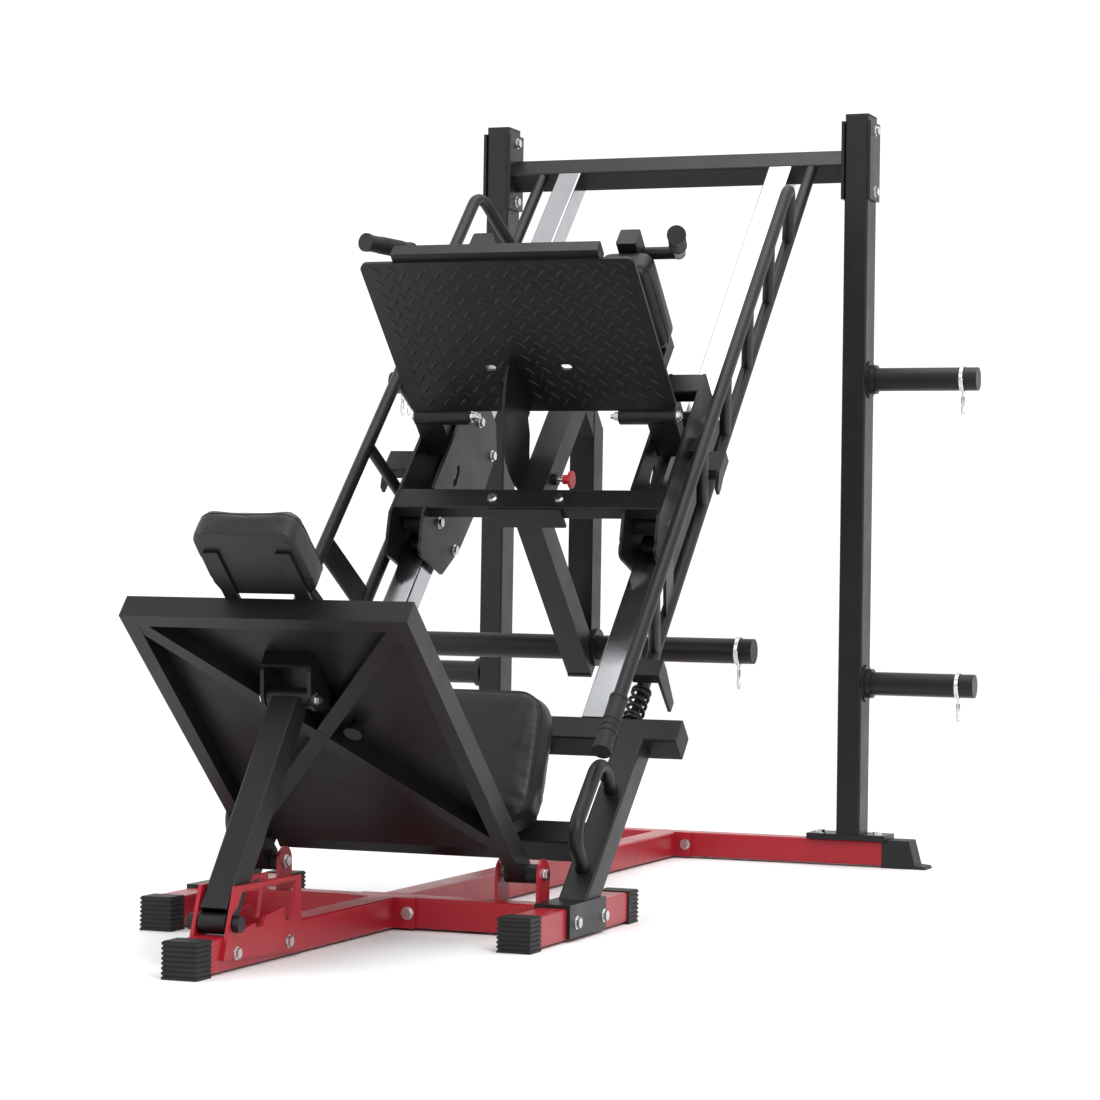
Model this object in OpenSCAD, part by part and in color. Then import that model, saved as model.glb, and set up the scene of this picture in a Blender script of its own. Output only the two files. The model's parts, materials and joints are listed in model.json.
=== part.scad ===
// Hack squat machine: inclined sled on chrome rails, swinging safety ladders, reclining back rest.
// X runs across the machine, Y to the back, Z up. Millimetres.

/* [Base] */
// Side of the base frame tubes
base_tube = 50; // [40:1:60]
// Height of the underside of the base tubes
base_z = 4; // [2:1:10]
// Front end of the base frame
base_front = 1125; // [1000:5:1250]
// Half spacing of the foot tube centres
foot_x = 313; // [280:1:340]
// Half width of the rear beam
rear_half = 468; // [420:1:520]

/* [Tower] */
// Height of the uprights
upright_top = 1540; // [1400:10:1700]
// Inner face of each upright
upright_in = 372; // [340:1:400]
// Depth of the uprights, front to back
upright_depth = 70; // [50:1:90]

/* [Rails] */
// Slope of the rails from the floor
rail_angle = 45.45; // [40:0.05:50]
// Length of each guide rail
rail_len = 1540; // [1400:10:1600]
// Inner face of each guide rail
rail_in = 208; // [190:1:220]
// Side of the square tubes on the slope
tube = 50; // [40:1:60]
// Wall of every tube
wall = 3; // [2:0.5:4]

/* [Sled] */
// Radius of the guide rollers
roller_r = 19.9; // [18:0.1:20]
// Half width of the foot plate
plate_half = 266; // [220:1:280]
// Radius of the plate loading sleeves
sleeve_r = 24; // [20:0.5:25]
// Outer end of the loading sleeves
sleeve_end = 345; // [300:1:360]

/* [Safety ladders] */
// Radius of the ladder tubes
ladder_r = 12; // [10:0.5:14]
// Distance between hinged rod and front tube
ladder_w = 157; // [120:1:180]
// Outward lean of the ladders at rest
ladder_lean = 12.9; // [0:0.1:20]
// Pitch of the ladder rungs
rung_pitch = 191; // [150:1:220]

/* [Back rest] */
// Recline of the back rest from the floor
back_angle = 40.6; // [30:0.1:60]
// Half width of the back rest frame
back_half = 242; // [200:1:260]
// Length of the back rest frame
back_len = 662; // [550:1:720]

/* [Hidden] */

black = [0.06, 0.06, 0.065];
red = [0.62, 0.05, 0.07];
steel = [0.75, 0.76, 0.78];
rubber = [0.05, 0.05, 0.05];
vinyl = [0.08, 0.08, 0.09];
fine = 48;
medium = 32;
gap = 0.3;

base_top = base_z + base_tube;
rail_y = 1053;
rail_z = 1441;
tower_y = 1085;
tower_half = 40;
upright_out = upright_in + tube;
beam_y = 375;
foot_in = foot_x - base_tube / 2;
foot_out = foot_x + base_tube / 2;
foot_f = 600;
foot_r = 100;
saddle_t = 6;
leg_angle = 42.5;
leg_y = -76;
leg_z = 306.5;
rail_out = rail_in + tube;
shaft_r = 8;
bore_r = 8.05;
rod_x0 = 298;
rod_n = -12;
rod_end = 1463;
hinge_t = -912;
hinge_n = 134;
pin_t = -1006;
pin_n = 60;
back_y = -366;
back_z = 100;
clevis_u = 495;
clevis_n = -37;
clevis_y = back_y - clevis_u * cos(back_angle) + clevis_n * sin(back_angle);
clevis_z = back_z + clevis_u * sin(back_angle) + clevis_n * cos(back_angle);
foot_pin_y = -1010;
foot_pin_z = 71.5;
strut_len = norm([clevis_y - foot_pin_y, clevis_z - foot_pin_z]);
strut_lean = atan2(clevis_y - foot_pin_y, clevis_z - foot_pin_z);
horn_z = [374, 999];
roller_pos = [[-804, 20], [-804, -70], [-1084, 20], [-1067, -70]];
sleeve_y = 550;
sleeve_z = 448;
plate_in = 195;
plate_out = 268;
plate_t = 6;

// ---------- shared shapes ----------
module both() { children(); mirror([1, 0, 0]) children(); }
module on_rail() { translate([0, rail_y, rail_z]) rotate([rail_angle, 0, 0]) children(); }
module on_back() { translate([0, back_y, back_z]) rotate([-back_angle, 0, 0]) children(); }
module on_leg() { translate([foot_x, leg_y, leg_z]) rotate([leg_angle, 0, 0]) children(); }
module on_ladder() { on_rail() translate([rod_x0, 0, rod_n]) rotate([0, ladder_lean, 0]) children(); }
module block(a, b) { translate(a) cube([b[0] - a[0], b[1] - a[1], b[2] - a[2]]); }
module rsq(w, h, r) {
    square([w - 2 * r, h], center = true);
    square([w, h - 2 * r], center = true);
    for (i = [-1, 1], j = [-1, 1]) translate([i * (w / 2 - r), j * (h / 2 - r)]) circle(r = r, $fn = 24);
}
module tube_z(w, h, len, r = 4) {
    difference() {
        linear_extrude(len) rsq(w, h, r);
        translate([0, 0, -1]) linear_extrude(len + 2) square([w - 2 * wall, h - 2 * wall], center = true);
    }
}
// tube along X from x0 to x1, a across Y, b across Z
module tube_x(x0, x1, y, z, a, b, r = 4) { translate([x0, y, z]) rotate([90, 0, 90]) tube_z(a, b, x1 - x0, r); }
module tube_y(y0, y1, x, z, a, b, r = 4) { translate([x, y1, z]) rotate([90, 0, 0]) tube_z(a, b, y1 - y0, r); }
module rod_x(x0, x1, y, z, r, n = 48) { translate([x0, y, z]) rotate([0, 90, 0]) cylinder(r = r, h = x1 - x0, $fn = n); }
module rod_y(y0, y1, x, z, r, n = 48) { translate([x, y1, z]) rotate([90, 0, 0]) cylinder(r = r, h = y1 - y0, $fn = n); }
// plate standing across X between x0 and x1 with a Y-Z outline
module plate_x(x0, x1) { translate([x0, 0, 0]) rotate([90, 0, 90]) linear_extrude(x1 - x0) children(); }
module bend(rc, r, a = 90) { rotate_extrude(angle = a, $fn = fine) translate([rc, 0]) circle(r = r, $fn = medium); }
// hexagon headed bolt along X: head from x toward dir
module head_x(x, y, z, dir = 1, r = 9, h = 6) {
    translate([x, y, z]) rotate([0, 90 * dir, 0]) {
        cylinder(r = r * 1.25, h = 1.5, $fn = fine);
        translate([0, 0, 1.4]) cylinder(r = r, h = h, $fn = 6);
    }
}
module head_y(x, y, z, dir = -1, r = 9, h = 6) {
    translate([x, y, z]) rotate([-90 * dir, 0, 0]) {
        cylinder(r = r * 1.25, h = 1.5, $fn = fine);
        translate([0, 0, 1.4]) cylinder(r = r, h = h, $fn = 6);
    }
}
module head_z(x, y, z, r = 9, h = 6) {
    translate([x, y, z]) { cylinder(r = r * 1.25, h = 1.5, $fn = fine);
        translate([0, 0, 1.4]) cylinder(r = r, h = h, $fn = 6); }
}

// ---------- base ----------
module spine_front() color(red) {
    tube_y(-base_front + 6, -400 - 6, 0, base_z + 25, tube, tube);
    block([-60, -406, base_z], [60, -400, base_top]);
}
module spine_rear() color(red) {
    tube_y(-350 + 6, 1060 - 6, 0, base_z + 25, tube, tube);
    block([-60, -350, base_z], [60, -344, base_top]);
    block([-60, 1054, base_z], [60, 1060, base_top]);
}
module front_crossbeam() color(red)
    tube_x(-foot_in + saddle_t, foot_in - saddle_t, -beam_y, base_z + 25, tube, tube);
module foot_tubes() color(red) both()
    tube_y(-foot_f, -foot_r, foot_x, base_z + 25, tube, tube);
module rear_beam() color(red)
    tube_x(-rear_half, rear_half, tower_y, base_z + 25, tube, tube);
module rear_feet() color(rubber) both() {
    translate([0, tower_y + 29, 0]) rotate([90, 0, 0]) linear_extrude(58)
        polygon([[rear_half, 0], [rear_half, base_top - gap], [477, base_top - gap], [477, 57],
            [524, 57], [537, 8], [556, 6], [560, 0]]);
}
module cap_y(yf, dir, x) {
    rib = 3.4; skin = 1.8; n = 8; len = 48; half = base_tube / 2;
    pitch = (base_tube + 7.4) / n;
    difference() {
        union() {
            block([x - half - skin, min(yf + dir * 1.6, yf + dir * len), 0.6],
                [x + half + skin, max(yf + dir * 1.6, yf + dir * len), base_top + skin]);
            for (i = [0 : n - 1]) block([x - half - rib, min(yf, yf + dir * len), i * pitch],
                [x + half + rib, max(yf, yf + dir * len), i * pitch + pitch * 0.55]);
        }
        block([x - half, min(yf + dir * 6, yf + dir * (len + 1)), base_z],
            [x + half, max(yf + dir * 6, yf + dir * (len + 1)), base_top]);
    }
}
module end_caps() color(rubber) {
    cap_y(-base_front, 1, 0);
    both() {
        cap_y(-foot_f - 6, 1, foot_x);
        cap_y(-foot_r + 6, -1, foot_x);
        translate([upright_in + 25, tower_y, upright_top]) {
            linear_extrude(5) rsq(tube, upright_depth, 4);
            translate([0, 0, -20]) linear_extrude(20) square([tube - 2 * wall - 0.6, upright_depth - 2 * wall - 0.6], center = true);
        }
        on_rail() translate([390, -rail_len - 25, -25]) rotate([90, 0, 90]) {
            linear_extrude(4) rsq(tube, tube, 4);
            translate([0, 0, -16]) linear_extrude(16) square(tube - 2 * wall - 0.6, center = true);
        }
    }
}

// ---------- tower and slope ----------
module uprights() color(black) both()
    translate([upright_in + 25, tower_y, base_top + 12]) tube_z(tube, upright_depth, upright_top - base_top - 12);
module mounting_plates() color(black) both() {
    block([311, tower_y - tower_half, base_top], [rear_half + 8, tower_y + tower_half, base_top + 6]);
    block([311, tower_y - tower_half, base_top + 6], [rear_half + 8, tower_y + tower_half, base_top + 12]);
    for (x = [upright_in - 6, upright_out])
        block([x, tower_y - tower_half, 1369], [x + 6, tower_y + tower_half - 3, 1530]);
}
module top_crossbar() color(black) on_rail()
    tube_x(-upright_in + 6, upright_in - 6, 25, -25, tube, tube);
module rails() color(steel) on_rail() both()
    tube_y(-rail_len, 0, rail_in + 25, -25, tube, tube, 3);
module leg_crossmember() color(black) on_rail()
    tube_x(-390, 390, -rail_len - 25, -25, tube, tube);
module legs() color(black) both() difference() {
    on_leg() tube_y(-420, 60, 0, -25, tube, tube);
    block([200, -600, -100], [400, 200, base_top + saddle_t]);
    on_rail() block([200, -rail_len - tube, -200], [400, 400, 200]);
}
module leg_saddles() color(black) both() {
    block([foot_in - saddle_t, -437, base_top], [foot_out + saddle_t, -265, base_top + saddle_t]);
    for (x = [foot_in - saddle_t, foot_out]) block([x, -437, 6], [x + saddle_t, -265, base_top + 1]);
}
module seat_crossmember() color(black)
    translate([0, leg_y, leg_z]) rotate([leg_angle, 0, 0])
        tube_x(-foot_in, foot_in, -198, -45, tube, tube);
seat_tilt = 70;
module on_seat() { translate([0, -267, 234]) rotate([seat_tilt, 0, 0]) children(); }
module seat_bracket() color(black) difference() {
    both() {
        on_seat() block([130, -60, -65 - gap - 40], [170, 150, -65 - gap]);
        block([140, -165, 284], [160, -22, 306]);
    }
    translate([0, leg_y, leg_z]) rotate([leg_angle, 0, 0])
        tube_solid(-foot_in, foot_in, -198, -45);
    on_rail() tube_solid(-390, 390, -rail_len - 25, -25);
}
module tube_solid(x0, x1, y, z) { block([x0, y - 25, z - 25], [x1, y + 25, z + 25]); }
module pad(w, h, t, r) {
    e = 12;
    linear_extrude(t - e) rsq(w, h, r);
    translate([0, 0, t - e - 0.01]) linear_extrude(e) rsq(w - 8, h - 8, r - 4);
}
module seat_pad() color(vinyl) on_seat() translate([0, 54, -65]) pad(420, 245, 65, 55);
module grab_handles() color(black) both() on_leg() {
    r = 12.5; out = 80; rb = 40; s0 = -117; len = 180;
    for (y = [s0, s0 - len]) translate([0, y, 0]) cylinder(r = r, h = out - rb, $fn = medium);
    translate([0, s0 - rb, out - rb]) rotate([90, 0, 90]) bend(rb, r);
    translate([0, s0 - len + rb, out - rb]) rotate([90, 0, 90]) rotate([0, 0, 90]) bend(rb, r);
    rod_y(s0 - len + rb, s0 - rb, 0, out, r, medium);
}
module storage_horns() color(black) both() for (z = horn_z) {
    difference() {
        union() {
            rod_x(upright_out, upright_out + 4, tower_y, z, 38);
            rod_x(upright_out, upright_out + 16, tower_y, z, 30);
            rod_x(upright_out, 650, tower_y, z, sleeve_r);
        }
        rod_x(upright_out + 16, 646, tower_y, z, sleeve_r - wall);
    }
}
module notch_outline() polygon([[-1044, 21], [-1007, 126], [-784, 125], [-779, 9.5]]);
module notch_window() {
    translate([foot_pin_y, foot_pin_z]) circle(r = 12.8, $fn = fine);
    polygon([[-1022.8, 71.5], [-1018, 86], [-1000, 96], [-986, 116], [-802, 118], [-802, 100],
        [-811, 64], [-814, 59], [-834, 59], [-838, 64], [-842, 82], [-905, 72.5], [-912, 66], [-916, 59],
        [-936, 59], [-940, 64], [-943, 66.5], [-974, 61], [-990, 58.8], [-1010, 58.7]]);
}
module notch_plates() color(red) both()
    plate_x(25, 31) difference() { notch_outline(); notch_window(); }
module hinge_brackets() color(red) both() for (x = [195, 267])
    plate_x(x, x + 5) difference() {
        union() { translate([back_y, back_z]) circle(r = 25, $fn = fine);
            translate([back_y - 25, base_top]) square([50, back_z - base_top]); }
        translate([back_y, back_z]) circle(r = 6.1, $fn = medium);
    }
module frame_bolts() color(steel) {
    for (x = [-47, 47]) { head_y(x, -406, base_z + 25, -1); head_y(x, 1054, base_z + 25, -1); }
    both() {
        for (x = [338, 457]) head_z(x, tower_y - 26, base_top + 12);
        for (z = [1513, 1387]) { head_x(upright_out + 6, tower_y, z, 1); head_x(upright_in - 6, tower_y, z, -1); }
        for (p = [[-406, 30], [-277, 29]]) head_x(foot_out + saddle_t, p[0], p[1], 1);
        for (p = [[-1003, 28], [-826, 27]]) head_x(31, p[0], p[1], 1, 8, 5);
        on_rail() translate([foot_x, -rail_len - 26, -50]) rotate([180, 0, 0]) head_z(0, 0, 0);
        rod_x(190, 277, back_y, back_z, 6, medium);
        head_x(272, back_y, back_z, 1);
        head_x(195, back_y, back_z, -1);
    }
}
module ladder_shafts() color(steel) on_rail() both() {
    rod_y(-30, 0, rod_x0, rod_n, shaft_r);
    rod_y(-rail_len, -1380, rod_x0, rod_n, shaft_r);
}
module buffer_springs() color(black) on_rail() both() translate([rod_x0, -rod_end - 1.5, rod_n]) rotate([90, 0, 0])
    difference() { cylinder(r = 18, h = rail_len - rod_end - 2, $fn = fine);
        translate([0, 0, -1]) cylinder(r = 12, h = 100, $fn = fine); }

// ---------- sled ----------
module plate_outline() {
    difference() {
        union() {
            polygon([[-745, -40], [-745, 90], [-1050, 86], [-1122, 85.5], [-1162, 62], [-1185, 30], [-1140, -62],
                [-1050, -88], [-880, -94], [-780, -82]]);
            translate([-1169, 38]) circle(r = 17, $fn = fine);
        }
        for (p = roller_pos) translate(p) circle(r = 6.1, $fn = medium);
    }
}
module carriage_plates_inner() color(black) on_rail() both() plate_x(plate_in, plate_in + plate_t)
    difference() {
        plate_outline();
        translate([-1108.1, 56.9]) square([50.2, 60]);
        translate([-790.1, 56.9]) square([50.2, 28.2]);
        translate([-962, 26]) rotate(12) polygon([[-26, 0], [-16, -9], [16, -9], [26, 0], [16, 9], [-16, 9]]);
    }
module carriage_plates_outer() color(black) on_rail() both() {
    plate_x(plate_out - plate_t, plate_out) plate_outline();
    block([plate_out, -917.5, 25], [291, -880, 50]);
}
module carriage_crossbar() color(black) on_rail()
    tube_x(-262, 262, -1083, 71, tube, 28, 3);
module carriage_header() color(black) on_rail() {
    tube_x(-262, 262, -765, 71, tube, 28, 3);
    both() difference() {
        union() {
            rod_x(205, 262, hinge_t, hinge_n, 16);
            block([205, hinge_t - 14, 45], [262, hinge_t + 14, hinge_n]);
        }
        rod_x(200, 270, hinge_t, hinge_n, 6.1, medium);
    }
}
module weight_carrier() color(black) union() {
    difference() {
        on_rail() block([-24, -790, -130], [24, -740, 57]);
        block([-60, 571, 600], [60, 900, 1200]);
    }
    difference() {
        block([-25, 522, 380], [25, 572, 940]);
        on_rail() block([-60, -2000, -900], [60, -1070, 200]);
        on_rail() block([-60, -742, -900], [60, 0, 300]);
    }
    on_rail() {
        block([-24.5, -1114, -358], [24.5, -1064, 57]);
        block([-24.2, -1116, -363], [24.2, -1062, -357]);
        block([-69, -1114.4, 40], [73, -1108, 86]);
    }
}
module weight_sleeve() color(black) both() difference() {
    union() {
        rod_x(25, 31, sleeve_y, sleeve_z, 36);
        rod_x(25, 319, sleeve_y, sleeve_z, sleeve_r);
        rod_x(319, sleeve_end, sleeve_y, sleeve_z, sleeve_r);
    }
    rod_x(30, sleeve_end - 4, sleeve_y, sleeve_z, sleeve_r - wall);
}
module index_tube() color(black) on_rail() difference() {
    union() {
        block([-25, -1058, 35], [25, -790, 85]);
        rod_x(24, 33.5, pin_t, pin_n, 11);
    }
    block([-22, -1059, 38], [22, -789, 82]);
    rod_x(-30, 60, pin_t, pin_n, 5.06);
}
module index_pin() color(steel) on_rail() rod_x(-25.5, 58, pin_t, pin_n, 5);
module index_knob() color(red) on_rail() difference() {
    union() { rod_x(44, 57, pin_t, pin_n, 9); rod_x(56.9, 62, pin_t, pin_n, 16.5); }
    rod_x(40, 58, pin_t, pin_n, 5);
}
module shoulder_frame() color(black) on_rail() both() {
    block([129, -740, 57], [169, -629, 85]);
    translate([149, -650, 84]) tube_z(40, 42, 262);
    translate([149, -650, 346]) linear_extrude(4) rsq(40, 42, 4);
    block([110, -671 - 4, 140], [188, -671, 320]);
    rod_x(168, 238, -646, 305, 12);
    translate([238, -646, 305]) sphere(r = 13, $fn = medium);
    on_grip() cylinder(r = 12, h = 222, $fn = fine);
}
// from the elbow of each shoulder handle toward its end cap
module on_grip() translate([238, -646, 305]) rotate([0, 0, atan2(-151, 69.6)]) rotate([0, atan2(166.3, 166.5), 0]) children();
module shoulder_grips() color(rubber) on_rail() both() on_grip() {
    difference() {
        union() {
            translate([0, 0, 98]) cylinder(r = 15.8, h = 132, $fn = fine);
            for (i = [0 : 6]) translate([0, 0, 128 + i * 9]) cylinder(r = 16.5, h = 5, $fn = fine);
            translate([0, 0, 98]) cylinder(r = 17, h = 7, $fn = fine);
            translate([0, 0, 222]) cylinder(r = 17.5, h = 8, $fn = fine);
        }
        translate([0, 0, 90]) cylinder(r = 12, h = 132, $fn = fine);
    }
}
module shoulder_pad(s) color(vinyl) on_rail() translate([s * 149, -675 - gap, 232]) rotate([90, 0, 0])
    pad(104, 206, 54, 24);
module shoulder_pad_left() shoulder_pad(-1);
module shoulder_pad_right() shoulder_pad(1);
module carriage_bolts() color(steel) on_rail() {
    both() {
        for (p = roller_pos) {
            rod_x(188, 275, p[0], p[1], 6, medium);
            head_x(plate_out, p[0], p[1], 1, 10, 6);
            head_x(plate_in, p[0], p[1], -1, 9, 6);
        }
        rod_x(132, 270, hinge_t, hinge_n, 6, medium);
        head_x(262, hinge_t, hinge_n, 1, 9, 4);
        head_x(148.6, hinge_t, hinge_n, -1, 9, 8);
    }
    for (x = [-70, 62]) head_z(x, -1083, 85, 8, 5);
}
module rollers(p) color(rubber) on_rail() both() difference() {
    rod_x(203, 260, p[0], p[1], roller_r, 64);
    rod_x(200, 264, p[0], p[1], 6.05);
}
module rollers_upper_front() rollers(roller_pos[0]);
module rollers_upper_back() rollers(roller_pos[1]);
module rollers_lower_front() rollers(roller_pos[2]);
module rollers_lower_back() rollers(roller_pos[3]);
module footplate() color(black) on_rail() {
    difference() {
        union() {
            translate([0, -909, 0]) rotate([90, 0, 0]) linear_extrude(6) difference() {
                translate([0, 332.5]) rsq(2 * plate_half, 365, 16);
                for (x = [-75, 75]) translate([x, 259]) rsq(22, 14, 6.9);
            }
            block([-200, -909.1, 500], [200, -884, 531]);
            both() rod_x(150, 204.6, hinge_t, hinge_n, 16);
            both() block([150, -915, hinge_n], [204.6, -909, 160]);
            for (x = [-180, 174]) block([x, -909.1, 156], [x + 6, -893, 500]);
        }
        both() rod_x(145, 210, hinge_t, hinge_n, 6.05);
    }
}
arm_x = [-31, -26];
arm_steps = [0, 6, 12];
module footplate_arm() color(black) on_rail() plate_x(arm_x[0], arm_x[1]) translate([hinge_t, hinge_n]) difference() {
    intersection() {
        translate([53, -54]) circle(r = 217, $fn = 96);
        circle(r = 151, $fn = 96);
        polygon([[-3, 160], [-3, 12], [-17, 12], [-31, -17], [-58, -42], [-72, -62], [-80, -97], [-112, -97],
            [-150, -60], [-200, 0], [-200, 200], [-3, 200]]);
    }
    for (a = arm_steps) rotate(-a) translate([pin_t - hinge_t, pin_n - hinge_n]) circle(r = 5.2, $fn = medium);
}

// ---------- safety ladders ----------
module ladder() color(black) {
    difference() {
        union() {
            on_rail() rod_y(-rod_end, -0.5, rod_x0, rod_n, ladder_r);
            on_ladder() {
                for (k = [0, 1, 2, 3, 4, 6]) translate([0, -235 - rung_pitch * k + (k == 6 ? 8 : 0), 9])
                    cylinder(r = ladder_r - (k == 0 ? 0 : 1), h = (k == 0 ? ladder_w - 40 - 9 : ladder_w - 9), $fn = medium);
                translate([0, -275, ladder_w - 40]) rotate([90, 0, 90]) bend(40, ladder_r);
                rod_y(-1740, -275, 0, ladder_w, ladder_r);
                block([-3, -1295, 10], [3, -1240, ladder_w - 10]);
            }
            on_rail() {
                block([277, -968, 25], [334, -918, 50]);
                block([294, -960, -4], [302, -926, 30]);
                plate_x(333, 339) polygon([[-918, 50], [-918, 25], [-962, 25], [-985, 20], [-1002, 20], [-1002, 34],
                    [-972, 50]]);
                block([294, -1480, 25], [341, -1444, 45]);
                block([294, -1462, -4], [302, -1446, 30]);
                plate_x(340, 346) polygon([[-1444, 45], [-1444, 20], [-1456, -51], [-1478, -51], [-1480, 20], [-1480, 45]]);
            }
        }
        on_rail() rod_y(-1500, 10, rod_x0, rod_n, bore_r);
        on_ladder() rod_y(-1750, -290, 0, ladder_w, ladder_r - 2.5);
    }
}
module ladder_right() ladder();
module ladder_left() mirror([1, 0, 0]) ladder();
module ladder_grip() color(rubber) on_ladder() {
    difference() {
        union() {
            rod_y(-1743, -1622, 0, ladder_w, 15.6);
            for (i = [0 : 2]) rod_y(-1704 + i * 13, -1698 + i * 13, 0, ladder_w, 16.6);
            rod_y(-1628, -1622, 0, ladder_w, 16.4);
            rod_y(-1743, -1736, 0, ladder_w, 17);
        }
        rod_y(-1740, -1600, 0, ladder_w, ladder_r);
    }
}
module ladder_grip_right() ladder_grip();
module ladder_grip_left() mirror([1, 0, 0]) ladder_grip();

// ---------- back rest ----------
// along(u, v): box between distances u0 and u1 up the back rest
module slab(x0, x1, u0, u1, n0, n1) { block([x0, -u1, n0], [x1, -u0, n1]); }
module brace(a) {
    x0 = -214; u0 = 103; x1 = 216; u1 = 636;
    len = sqrt((x1 - x0) * (x1 - x0) + (u1 - u0) * (u1 - u0));
    translate([x0, -u0, 0]) rotate([0, 0, -atan2(u1 - u0, x1 - x0)]) block([-30, -12.5, -17], [len + 30, 12.5, 12]);
}
module backrest_frame() color(black) on_back() difference() {
    union() {
        both() slab(back_half - 25, back_half, 0, back_len, -18, 22);
        slab(-back_half, back_half, back_len - 25, back_len, -18, 22);
        intersection() {
            union() { brace(0); mirror([1, 0, 0]) translate([0, 0, -0.5]) brace(0); }
            slab(-back_half + 12, back_half - 12, 60, back_len - 12, -40, 40);
        }
        both() { rod_x(206, 262, 0, 0, 16); plate_x(37, 43) difference() {
            polygon([[-420, 11], [-548, 11], [-540, -20], [-512, -50], [-500, -55], [-485, -53], [-470, -40]]);
            translate([-clevis_u, clevis_n]) circle(r = 6.1, $fn = medium); } }
        slab(-42, 42, 541, 547, -14, 10);
        for (x = [-60, 60]) slab(x - 12, x + 12, back_len - 20, back_len + 105, 21, 26);
    }
    both() rod_x(200, 265, 0, 0, 6.05);
}
module backrest_panel() color(black) on_back() {
    slab(-back_half + 25.2, back_half - 25.2, 49, back_len - 25.2, 12.1, 20);
    translate([55, -372, -2]) cylinder(r = 9, h = 15, $fn = fine);
    translate([55, -372, -10]) cylinder(r = 15, h = 9, $fn = fine);
}
module back_pad() color(vinyl) on_back() translate([0, -321, 22 + gap]) pad(430, 526, 50, 40);
module head_pad() color(vinyl) on_back() {
    translate([0, -735, 26 + gap]) pad(172, 144, 54, 26);
}
module backrest_bolts() color(steel) on_back() {
    rod_x(-49, 49, -clevis_u, clevis_n, 6, medium);
    both() head_x(43, -clevis_u, clevis_n, 1, 9, 6);
}
module on_strut() { translate([0, clevis_y, clevis_z]) rotate([-strut_lean, 0, 0]) children(); }
module strut() color(black) on_strut() difference() {
    union() {
        difference() {
            translate([0, 0, -strut_len + 12]) tube_z(45, 45, strut_len - 24);
            rod_x(-40, 40, 0, -strut_len, 15.5);
        }
        rod_x(-22, 22, 0, -strut_len, 16);
        rod_x(-36, 36, 0, 0, 16);
    }
    rod_x(-50, 50, 0, 0, 6.05);
    rod_x(-50, 50, 0, -strut_len, 8);
}
module strut_pin() color(black) on_strut() {
    rod_x(-22, 22, 0, -strut_len, 8);
    both() rod_x(22, 42, 0, -strut_len, 12.4);
}
module collar(x, y, z, r) difference() {
    union() {
        rod_x(x, x + 8, y, z, r + 5);
        translate([x, y - 4, z + r]) cube([8, 8, 16]);
    }
    rod_x(x - 1, x + 9, y, z, r + 0.05);
}
module storage_collar_right_upper() color(steel) collar(614, tower_y, horn_z[1], sleeve_r);
module storage_collar_right_lower() color(steel) collar(612, tower_y, horn_z[0], sleeve_r);
module storage_collar_left_upper() color(steel) mirror([1, 0, 0]) collar(614, tower_y, horn_z[1], sleeve_r);
module sleeve_collar_right() color(steel) collar(311, sleeve_y, sleeve_z, sleeve_r);

spine_front();
spine_rear();
front_crossbeam();
foot_tubes();
rear_beam();
uprights();
mounting_plates();
top_crossbar();
rails();
leg_crossmember();
seat_crossmember();
legs();
leg_saddles();
seat_bracket();
seat_pad();
grab_handles();
storage_horns();
end_caps();
rear_feet();
notch_plates();
hinge_brackets();
frame_bolts();
ladder_shafts();
buffer_springs();
carriage_plates_inner();
carriage_plates_outer();
carriage_crossbar();
carriage_header();
weight_carrier();
weight_sleeve();
index_tube();
shoulder_frame();
shoulder_pad_left();
shoulder_pad_right();
shoulder_grips();
carriage_bolts();
rollers_upper_front();
rollers_upper_back();
rollers_lower_front();
rollers_lower_back();
footplate();
footplate_arm();
index_pin();
index_knob();
ladder_left();
ladder_right();
ladder_grip_left();
ladder_grip_right();
backrest_frame();
backrest_panel();
back_pad();
head_pad();
backrest_bolts();
strut();
strut_pin();
storage_collar_right_upper();
storage_collar_right_lower();
storage_collar_left_upper();
sleeve_collar_right();
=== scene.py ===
import json
import math

import bpy
import numpy as np
from mathutils import Matrix, Vector
from mathutils.bvhtree import BVHTree


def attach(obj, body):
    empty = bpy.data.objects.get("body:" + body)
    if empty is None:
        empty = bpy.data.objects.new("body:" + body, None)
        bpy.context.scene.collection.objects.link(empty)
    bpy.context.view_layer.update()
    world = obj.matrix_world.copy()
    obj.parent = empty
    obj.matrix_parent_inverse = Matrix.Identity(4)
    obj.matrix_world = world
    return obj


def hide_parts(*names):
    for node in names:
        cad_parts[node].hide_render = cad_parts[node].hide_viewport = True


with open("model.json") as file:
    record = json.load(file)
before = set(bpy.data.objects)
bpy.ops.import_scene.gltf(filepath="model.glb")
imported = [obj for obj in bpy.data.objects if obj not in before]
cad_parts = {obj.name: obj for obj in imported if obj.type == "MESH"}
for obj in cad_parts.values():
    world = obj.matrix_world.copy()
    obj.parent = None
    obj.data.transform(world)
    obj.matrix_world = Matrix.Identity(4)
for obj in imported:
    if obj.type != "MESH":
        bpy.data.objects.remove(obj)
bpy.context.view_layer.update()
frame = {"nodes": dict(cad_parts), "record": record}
N = frame["nodes"]
scene = bpy.context.scene
scene.view_settings.view_transform = "Standard"
MM = 0.001


# ---------------------------------------------------------------- materials
def new_mat(name):
    m = bpy.data.materials.new(name)
    m.use_nodes = True
    nt = m.node_tree
    return m, nt, nt.nodes["Principled BSDF"]


def add(nt, kind, **values):
    n = nt.nodes.new(kind)
    for k, v in values.items():
        if k in n.inputs:
            n.inputs[k].default_value = v
        else:
            setattr(n, k, v)
    return n


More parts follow.
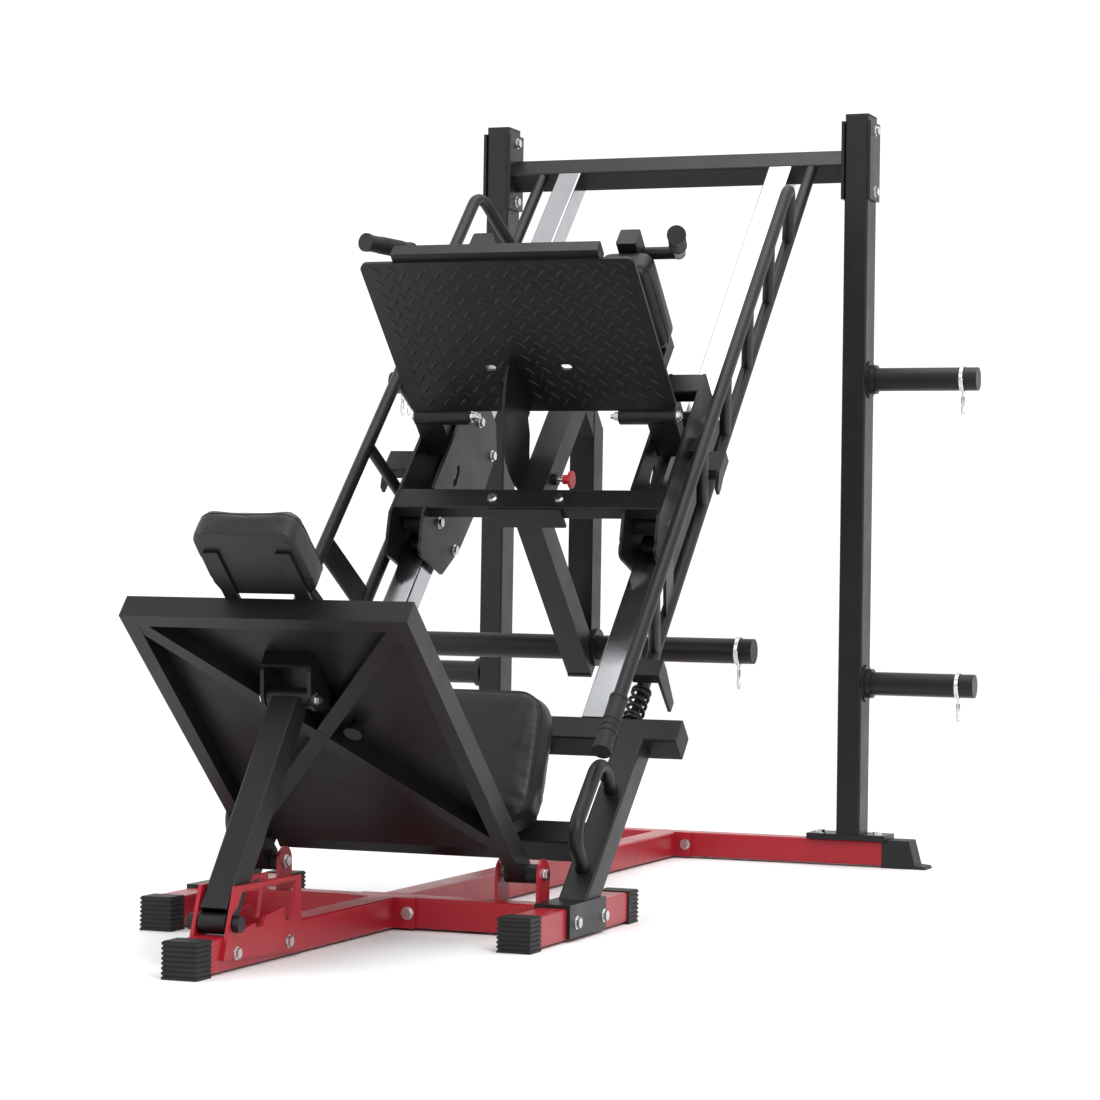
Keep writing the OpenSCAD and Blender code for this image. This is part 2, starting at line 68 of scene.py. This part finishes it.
def tinted(nt, coord, scale, dark, light, detail=4.0):
    noise = add(nt, "ShaderNodeTexNoise", Scale=scale, Detail=detail)
    ramp = add(nt, "ShaderNodeValToRGB")
    ramp.color_ramp.elements[0].position = 0.3
    ramp.color_ramp.elements[1].position = 0.72
    ramp.color_ramp.elements[0].color = (*dark, 1)
    ramp.color_ramp.elements[1].color = (*light, 1)
    nt.links.new(coord, noise.inputs["Vector"])
    nt.links.new(noise.outputs["Fac"], ramp.inputs["Fac"])
    return ramp.outputs["Color"]


def bumped(nt, bsdf, coord, layers, distance=0.0004):
    """layers: (texture kind, scale, strength), stacked from the first."""
    last = None
    for kind, scale, strength in layers:
        tex = add(nt, kind, Scale=scale)
        nt.links.new(coord, tex.inputs["Vector"])
        out = tex.outputs["Distance"] if kind == "ShaderNodeTexVoronoi" else tex.outputs["Fac"]
        b = add(nt, "ShaderNodeBump", Strength=strength, Distance=distance)
        nt.links.new(out, b.inputs["Height"])
        if last:
            nt.links.new(last, b.inputs["Normal"])
        last = b.outputs["Normal"]
    nt.links.new(last, bsdf.inputs["Normal"])


def rough_from(nt, bsdf, coord, scale, low, high):
    noise = add(nt, "ShaderNodeTexNoise", Scale=scale, Detail=6.0)
    span = add(nt, "ShaderNodeMapRange")
    span.inputs["From Min"].default_value = 0.3
    span.inputs["From Max"].default_value = 0.7
    span.inputs["To Min"].default_value = low
    span.inputs["To Max"].default_value = high
    nt.links.new(coord, noise.inputs["Vector"])
    nt.links.new(noise.outputs["Fac"], span.inputs["Value"])
    nt.links.new(span.outputs["Result"], bsdf.inputs["Roughness"])


def surface(name, dark, light, rough, metal=0.0, layers=(), distance=0.0004, tint_scale=9.0, spec=None):
    m, nt, bsdf = new_mat(name)
    coord = add(nt, "ShaderNodeTexCoord").outputs["Object"]
    nt.links.new(tinted(nt, coord, tint_scale, dark, light), bsdf.inputs["Base Color"])
    bsdf.inputs["Metallic"].default_value = metal
    if spec is not None:
        bsdf.inputs["Specular IOR Level"].default_value = spec
    rough_from(nt, bsdf, coord, 14.0, *rough)
    if layers:
        bumped(nt, bsdf, coord, layers, distance)
    return m


NOISE, VORO = "ShaderNodeTexNoise", "ShaderNodeTexVoronoi"
POWDER = 0.0003
MAT = {
    "black_powder": surface(
        "black powder coat", (0.0048, 0.0048, 0.0054), (0.0078, 0.0078, 0.0088), (0.34, 0.44),
        layers=((NOISE, 1400.0, 0.28), (NOISE, 260.0, 0.10)), distance=POWDER, spec=0.30),
    "red_powder": surface(
        "red powder coat", (0.27, 0.006, 0.014), (0.33, 0.008, 0.018), (0.28, 0.38),
        layers=((NOISE, 1100.0, 0.16), (NOISE, 200.0, 0.08)), distance=POWDER, spec=0.4),
    "chrome_rail": surface(
        "chromed tube", (0.40, 0.41, 0.43), (0.47, 0.48, 0.50), (0.10, 0.16), metal=1.0,
        layers=((NOISE, 60.0, 0.03),)),
    "zinc_steel": surface(
        "zinc plated steel", (0.50, 0.50, 0.52), (0.70, 0.70, 0.71), (0.18, 0.32), metal=1.0,
        layers=((NOISE, 500.0, 0.12),)),
    "clip_steel": surface(
        "spring steel", (0.62, 0.62, 0.64), (0.74, 0.74, 0.76), (0.12, 0.22), metal=1.0,
        layers=((NOISE, 400.0, 0.08),)),
    "black_rubber": surface(
        "moulded rubber", (0.005, 0.005, 0.0056), (0.008, 0.008, 0.0088), (0.50, 0.66),
        layers=((NOISE, 700.0, 0.22),), spec=0.35),
    "black_vinyl": surface(
        "grained vinyl", (0.0052, 0.0052, 0.006), (0.0085, 0.0085, 0.0095), (0.38, 0.48),
        layers=((VORO, 520.0, 0.30), (NOISE, 1200.0, 0.12)), distance=0.0004, spec=0.36),
    "red_plastic": surface(
        "red moulded knob", (0.42, 0.008, 0.012), (0.50, 0.012, 0.018), (0.32, 0.42),
        layers=((NOISE, 500.0, 0.08),)),
    "hard_plastic": surface(
        "black end cap plastic", (0.006, 0.006, 0.0066), (0.009, 0.009, 0.010), (0.34, 0.44),
        layers=((NOISE, 600.0, 0.12),)),
}


def paint(obj, name):
    obj.data.materials.clear()
    obj.data.materials.append(MAT[name])


slots = {s["node"]: s["material_slot"] for s in frame["record"]["subparts"]}
SOFT = ("seat_pad", "back_pad", "head_pad", "shoulder_pad_left", "shoulder_pad_right")
for node, obj in N.items():
    paint(obj, slots[node])
    if node in SOFT:
        continue
    for p in obj.data.polygons:
        p.use_smooth = True
    bev = obj.modifiers.new("edge", "BEVEL")
    bev.width = 0.0007
    bev.segments = 2
    bev.limit_method = "ANGLE"
    bev.angle_limit = math.radians(38)
    bev.harden_normals = True
    flat = obj.modifiers.new("flat faces", "WEIGHTED_NORMAL")
    flat.keep_sharp = True


# ---------------------------------------------------------------- frames used by the CAD source
def rx(a):
    return Matrix.Rotation(math.radians(a), 4, "X")


RAIL = Matrix.Translation((0, 1.053, 1.441)) @ rx(45.45)
BACK = Matrix.Translation((0, -0.366, 0.100)) @ rx(-40.6)
SEAT = Matrix.Translation((0, -0.267, 0.234)) @ rx(70)


def mesh_object(name, verts, faces, body, material, smooth=True):
    me = bpy.data.meshes.new(name)
    me.from_pydata([tuple(v) for v in verts], [], faces)
    me.update()
    o = bpy.data.objects.new(name, me)
    scene.collection.objects.link(o)
    if smooth:
        for p in me.polygons:
            p.use_smooth = True
    paint(o, material)
    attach(o, body)
    return o


def tube_mesh(points, radius, closed=False, sides=8):
    """Vertices and faces of a round tube that follows points."""
    pts = [Vector(p) for p in points]
    n = len(pts)
    verts, faces = [], []
    up = Vector((0.123, 0.456, 0.881)).normalized()
    for i, p in enumerate(pts):
        a = pts[(i - 1) % n] if closed or i else p
        b = pts[(i + 1) % n] if closed or i < n - 1 else p
        d = (b - a).normalized()
        u = d.cross(up).normalized()
        up = u.cross(d).normalized()
        for k in range(sides):
            t = 2 * math.pi * k / sides
            verts.append(p + radius * (math.cos(t) * u + math.sin(t) * up))
    for i in range(n if closed else n - 1):
        for k in range(sides):
            a, b = i * sides + k, i * sides + (k + 1) % sides
            c, d = ((i + 1) % n) * sides + (k + 1) % sides, ((i + 1) % n) * sides + k
            faces.append((a, b, c, d))
    if not closed:
        faces.append(tuple(range(sides))[::-1])
        faces.append(tuple(range((n - 1) * sides, n * sides)))
    return verts, faces


def join_parts(parts):
    verts, faces = [], []
    for v, f in parts:
        off = len(verts)
        verts += v
        faces += [tuple(i + off for i in face) for face in f]
    return verts, faces


# ---------------------------------------------------------------- cushions
def rounded_rect(w, h, r, z, cx=0.0, cy=0.0, n=10):
    pts = []
    for sx, sy, a0 in ((1, 1, 0), (-1, 1, 90), (-1, -1, 180), (1, -1, 270)):
        for i in range(n + 1):
            a = math.radians(a0 + 90 * i / n)
            x = cx + sx * (w / 2 - r) + r * math.cos(a)
            y = cy + sy * (h / 2 - r) + r * math.sin(a)
            pts.append((x, y, z))
    return pts


def densify(pts, step):
    out = []
    for i, p in enumerate(pts):
        a, b = Vector(p), Vector(pts[(i + 1) % len(pts)])
        k = max(1, int((b - a).length / step))
        out += [a.lerp(b, j / k) for j in range(k)]
    return out


# Crowned pad: the CAD solid is remeshed, swollen as cloth under pressure, and its travel capped at puff.
def cushion(node, body, place, w, h, t, r, cy=0.0, cx=0.0, voxel=0.006, puff=0.0035):
    src = N[node]
    o = bpy.data.objects.new(node + "_cushion", src.data.copy())
    scene.collection.objects.link(o)
    o.matrix_world = src.matrix_world.copy()
    bpy.context.view_layer.objects.active = o
    rem = o.modifiers.new("remesh", "REMESH")
    rem.mode = "VOXEL"
    rem.voxel_size = voxel
    sm = o.modifiers.new("soften", "SMOOTH")
    sm.factor = 0.5
    sm.iterations = 6
    dg = bpy.context.evaluated_depsgraph_get()
    me = bpy.data.meshes.new_from_object(o.evaluated_get(dg))
    o.modifiers.clear()
    o.data = me
    inv = place.inverted()
    world = o.matrix_world
    local = [inv @ (world @ v.co) for v in me.vertices]
    zmin = min(p.z for p in local)
    group = o.vertex_groups.new(name="pin")
    group.add([i for i, p in enumerate(local) if p.z < zmin + 0.012], 1.0, "REPLACE")
    cloth = o.modifiers.new("cloth", "CLOTH")
    cs = cloth.settings
    cs.quality = 4
    cs.mass = 0.3
    cs.tension_stiffness = 25
    cs.compression_stiffness = 25
    cs.bending_stiffness = 2.0
    cs.use_pressure = True
    cs.uniform_pressure_force = 4.0
    cs.vertex_group_mass = "pin"
    cs.effector_weights.gravity = 0.0
    cloth.collision_settings.use_collision = False
    cloth.point_cache.frame_start = 1
    cloth.point_cache.frame_end = 20
    for f in range(1, 21):
        scene.frame_set(f)
    dg = bpy.context.evaluated_depsgraph_get()
    ev = o.evaluated_get(dg)
    before = np.array([v.co for v in me.vertices])
    after = np.array([v.co for v in ev.data.vertices])
    move = after - before
    size = np.linalg.norm(move, axis=1, keepdims=True)
    move = move * np.minimum(1.0, puff / np.maximum(size, 1e-9))
    o.modifiers.clear()
    scene.frame_set(1)
    me.vertices.foreach_set("co", (before + move).astype(np.float32).ravel())
    me.update()
    for p in me.polygons:
        p.use_smooth = True
    sm = o.modifiers.new("soften", "SMOOTH")
    sm.factor = 0.5
    sm.iterations = 4
    paint(o, "black_vinyl")
    sub = o.modifiers.new("fine", "SUBSURF")
    sub.levels = 1
    sub.render_levels = 1
    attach(o, body)
    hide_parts(node)
    # seam round the front panel, laid on the finished surface
    dg = bpy.context.evaluated_depsgraph_get()
    ev = o.evaluated_get(dg)
    tree = BVHTree.FromPolygons([ev.matrix_world @ v.co for v in ev.data.vertices],
                                [tuple(p.vertices) for p in ev.data.polygons])
    ring = []
    for p in densify(rounded_rect(w - 2 * MM, h - 2 * MM, r, zmin + t - 13 * MM, cx, cy), 0.004):
        hit = tree.find_nearest(place @ Vector(p))
        ring.append(hit[0] + hit[1] * 0.0002)
    v, f = tube_mesh(ring, 0.0011, closed=True, sides=8)
    seam = mesh_object(node + "_seam", v, f, body, "black_vinyl")
    return o


cushion("seat_pad", "frame", SEAT, 0.420, 0.245, 0.065, 0.055, cy=0.054, puff=0.0035)
cushion("back_pad", "backrest", BACK, 0.430, 0.526, 0.050, 0.040, cy=-0.321, voxel=0.007)
cushion("head_pad", "backrest", BACK, 0.172, 0.144, 0.054, 0.026, cy=-0.735, voxel=0.005)
for side, s in (("left", -1), ("right", 1)):
    place = RAIL @ Matrix.Translation((s * 0.149, -0.6753, 0.232)) @ rx(90)
    cushion("shoulder_pad_" + side, "carriage", place, 0.104, 0.206, 0.054, 0.024, voxel=0.005)


# ---------------------------------------------------------------- tread on the foot plate
def tread():
    """Raised bars in two crossing directions, left off round the holes and the arm."""
    verts, faces = [], []
    px, pn = 0.034, 0.031
    t_face = -0.915
    length, width, rise = 0.0255, 0.0074, 0.0017
    rows = int(0.36 / pn)
    rings = ((1.0, 0.0), (0.80, 0.62), (0.45, 0.93))
    for j in range(rows + 1):
        for half in (0, 1):
            for i in range(-8, 9):
                x = i * px + (px / 2 if half else 0)
                n = 0.158 + j * pn + (pn / 2 if half else 0)
                if abs(x) > 0.252 or n > 0.506 or n < 0.162:
                    continue
                if any(math.hypot(x - hx, n - 0.259) < 0.022 for hx in (-0.075, 0.075)):
                    continue
                if abs(x + 0.0285) < 0.014 and n < 0.300:
                    continue
                a = math.radians(45 if half else -45)
                base = len(verts)
                k = 16
                for scale, lift in rings:
                    for q in range(k):
                        t = 2 * math.pi * q / k
                        u = length / 2 * math.cos(t) * scale
                        v = width / 2 * math.sin(t) * scale * (1 - 0.35 * abs(math.cos(t)))
                        along = x + u * math.cos(a) - v * math.sin(a)
                        up = n + u * math.sin(a) + v * math.cos(a)
                        verts.append(RAIL @ Vector((along, t_face - lift * rise, up)))
                for ring in range(len(rings) - 1):
                    for q in range(k):
                        a0, a1 = base + ring * k + q, base + ring * k + (q + 1) % k
                        faces.append((a0, a1, a1 + k, a0 + k))
                faces.append(tuple(base + (len(rings) - 1) * k + q for q in range(k)))
    return verts, faces


v, f = tread()
mesh_object("tread_pattern", v, f, "footplate", "black_powder")


# ---------------------------------------------------------------- coil springs and sleeve clips
def helix(c, axis, u, v, radius, start, end, turns, flat=0.75, per=28):
    """A spring whose end turns lie flat."""
    pts = []
    total = int(turns * per)
    for i in range(total + 1):
        k = i / per
        a = 2 * math.pi * k
        f = min(max((k - flat) / max(turns - 2 * flat, 0.01), 0), 1)
        pts.append(c + axis * (start + (end - start) * f) + radius * (math.cos(a) * u + math.sin(a) * v))
    return pts


T = (RAIL.to_3x3() @ Vector((0, 1, 0))).normalized()
NN = (RAIL.to_3x3() @ Vector((0, 0, 1))).normalized()
XX = Vector((1, 0, 0))
parts = []
for s in (-1, 1):
    c = RAIL @ Vector((s * 0.298, -1.5025, -0.012))
    parts.append(tube_mesh(helix(c, T, XX, NN, 0.0152, -0.0344, 0.0344, 5.5), 0.0032, sides=12))
v, f = join_parts(parts)
spring = mesh_object("coil_springs", v, f, "frame", "black_powder")
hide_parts("buffer_springs")


def clip(node, body, x, y, z, s):
    """Sprung wire clip: three coils, and two long finger loops hanging from their ends."""
    c = Vector((x + s * 0.004, y, z))
    ax, u, w = Vector((s, 0, 0)), Vector((0, 1, 0)), Vector((0, 0, -1))
    coil = helix(c, ax, u, w, 0.0262, -0.0034, 0.0034, 3.0, flat=0.1, per=30)
    parts = [tube_mesh(coil, 0.0016, sides=8)]
    for side, x0 in ((1, -0.0034), (-1, 0.0034)):
        base = c + ax * x0
        loop = [base + u * (side * 0.0262 * math.cos(a)) + w * (0.0262 * math.sin(a))
                for a in (0.0, 0.25, 0.5, 0.75, 0.95)]
        loop += [base + u * side * 0.0158 + w * 0.040, base + u * side * 0.0168 + w * 0.066,
                 base + u * side * 0.0150 + w * 0.0705, base + u * side * 0.0105 + w * 0.072,
                 base + u * side * 0.0060 + w * 0.0705, base + u * side * 0.0042 + w * 0.066,
                 base + u * side * 0.0050 + w * 0.036]
        parts.append(tube_mesh(loop, 0.0016, sides=8))
    v, f = join_parts(parts)
    o = mesh_object(node + "_clip", v, f, body, "clip_steel")
    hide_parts(node)


clip("storage_collar_right_upper", "storage_collar_right_upper", 0.614, 1.085, 0.999, 1)
clip("storage_collar_right_lower", "storage_collar_right_lower", 0.612, 1.085, 0.374, 1)
clip("storage_collar_left_upper", "storage_collar_left_upper", -0.614, 1.085, 0.999, -1)
clip("sleeve_collar_right", "sleeve_collar_right", 0.311, 0.550, 0.448, 1)

# ---------------------------------------------------------------- studio
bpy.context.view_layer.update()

me = bpy.data.meshes.new("floor")
me.from_pydata([(-14, -14, 0), (14, -14, 0), (14, 14, 0), (-14, 14, 0)], [], [(0, 1, 2, 3)])
floor = bpy.data.objects.new("floor", me)
scene.collection.objects.link(floor)
m, nt, bsdf = new_mat("studio floor")
co = add(nt, "ShaderNodeTexCoord").outputs["Object"]
nt.links.new(tinted(nt, co, 3.0, (0.88, 0.88, 0.88), (0.90, 0.90, 0.90)), bsdf.inputs["Base Color"])
bsdf.inputs["Roughness"].default_value = 0.6
floor.data.materials.append(m)

world = bpy.data.worlds.new("studio")
scene.world = world
world.use_nodes = True
bg = world.node_tree.nodes["Background"]
bg.inputs["Color"].default_value = (1.0, 1.0, 1.0, 1)
bg.inputs["Strength"].default_value = 1.12


def area(name, loc, target, size, power):
    d = bpy.data.lights.new(name, "AREA")
    d.shape = "RECTANGLE"
    d.size, d.size_y = size
    d.energy = power
    o = bpy.data.objects.new(name, d)
    scene.collection.objects.link(o)
    o.location = loc
    o.rotation_euler = (Vector(target) - Vector(loc)).to_track_quat("-Z", "Y").to_euler()


area("key", (3.2, -3.2, 3.6), (0, 0, 0.7), (2.2, 2.2), 120)
area("fill", (-3.8, -2.4, 2.4), (0, 0, 0.7), (2.6, 2.2), 50)
area("top", (0.4, 0.6, 4.2), (0, 0, 0.6), (3.0, 3.0), 70)

yaw, pitch, roll = 0.362, -0.027, 0.016
d = Vector((-math.sin(yaw) * math.cos(pitch), math.cos(yaw) * math.cos(pitch), -math.sin(pitch)))
r = Vector((math.cos(yaw), math.sin(yaw), 0))
u = r.cross(d)
r2 = math.cos(roll) * r + math.sin(roll) * u
u2 = -math.sin(roll) * r + math.cos(roll) * u
cam = bpy.data.cameras.new("camera")
cam.lens = 101.85
cam.sensor_width = 36
cam.shift_y = -0.061
cam.clip_end = 60
co = bpy.data.objects.new("camera", cam)
scene.collection.objects.link(co)
mw = Matrix((r2, u2, -d)).transposed().to_4x4()
mw.translation = Vector((2.0772, -5.136, 0.6027))
co.matrix_world = mw
scene.camera = co
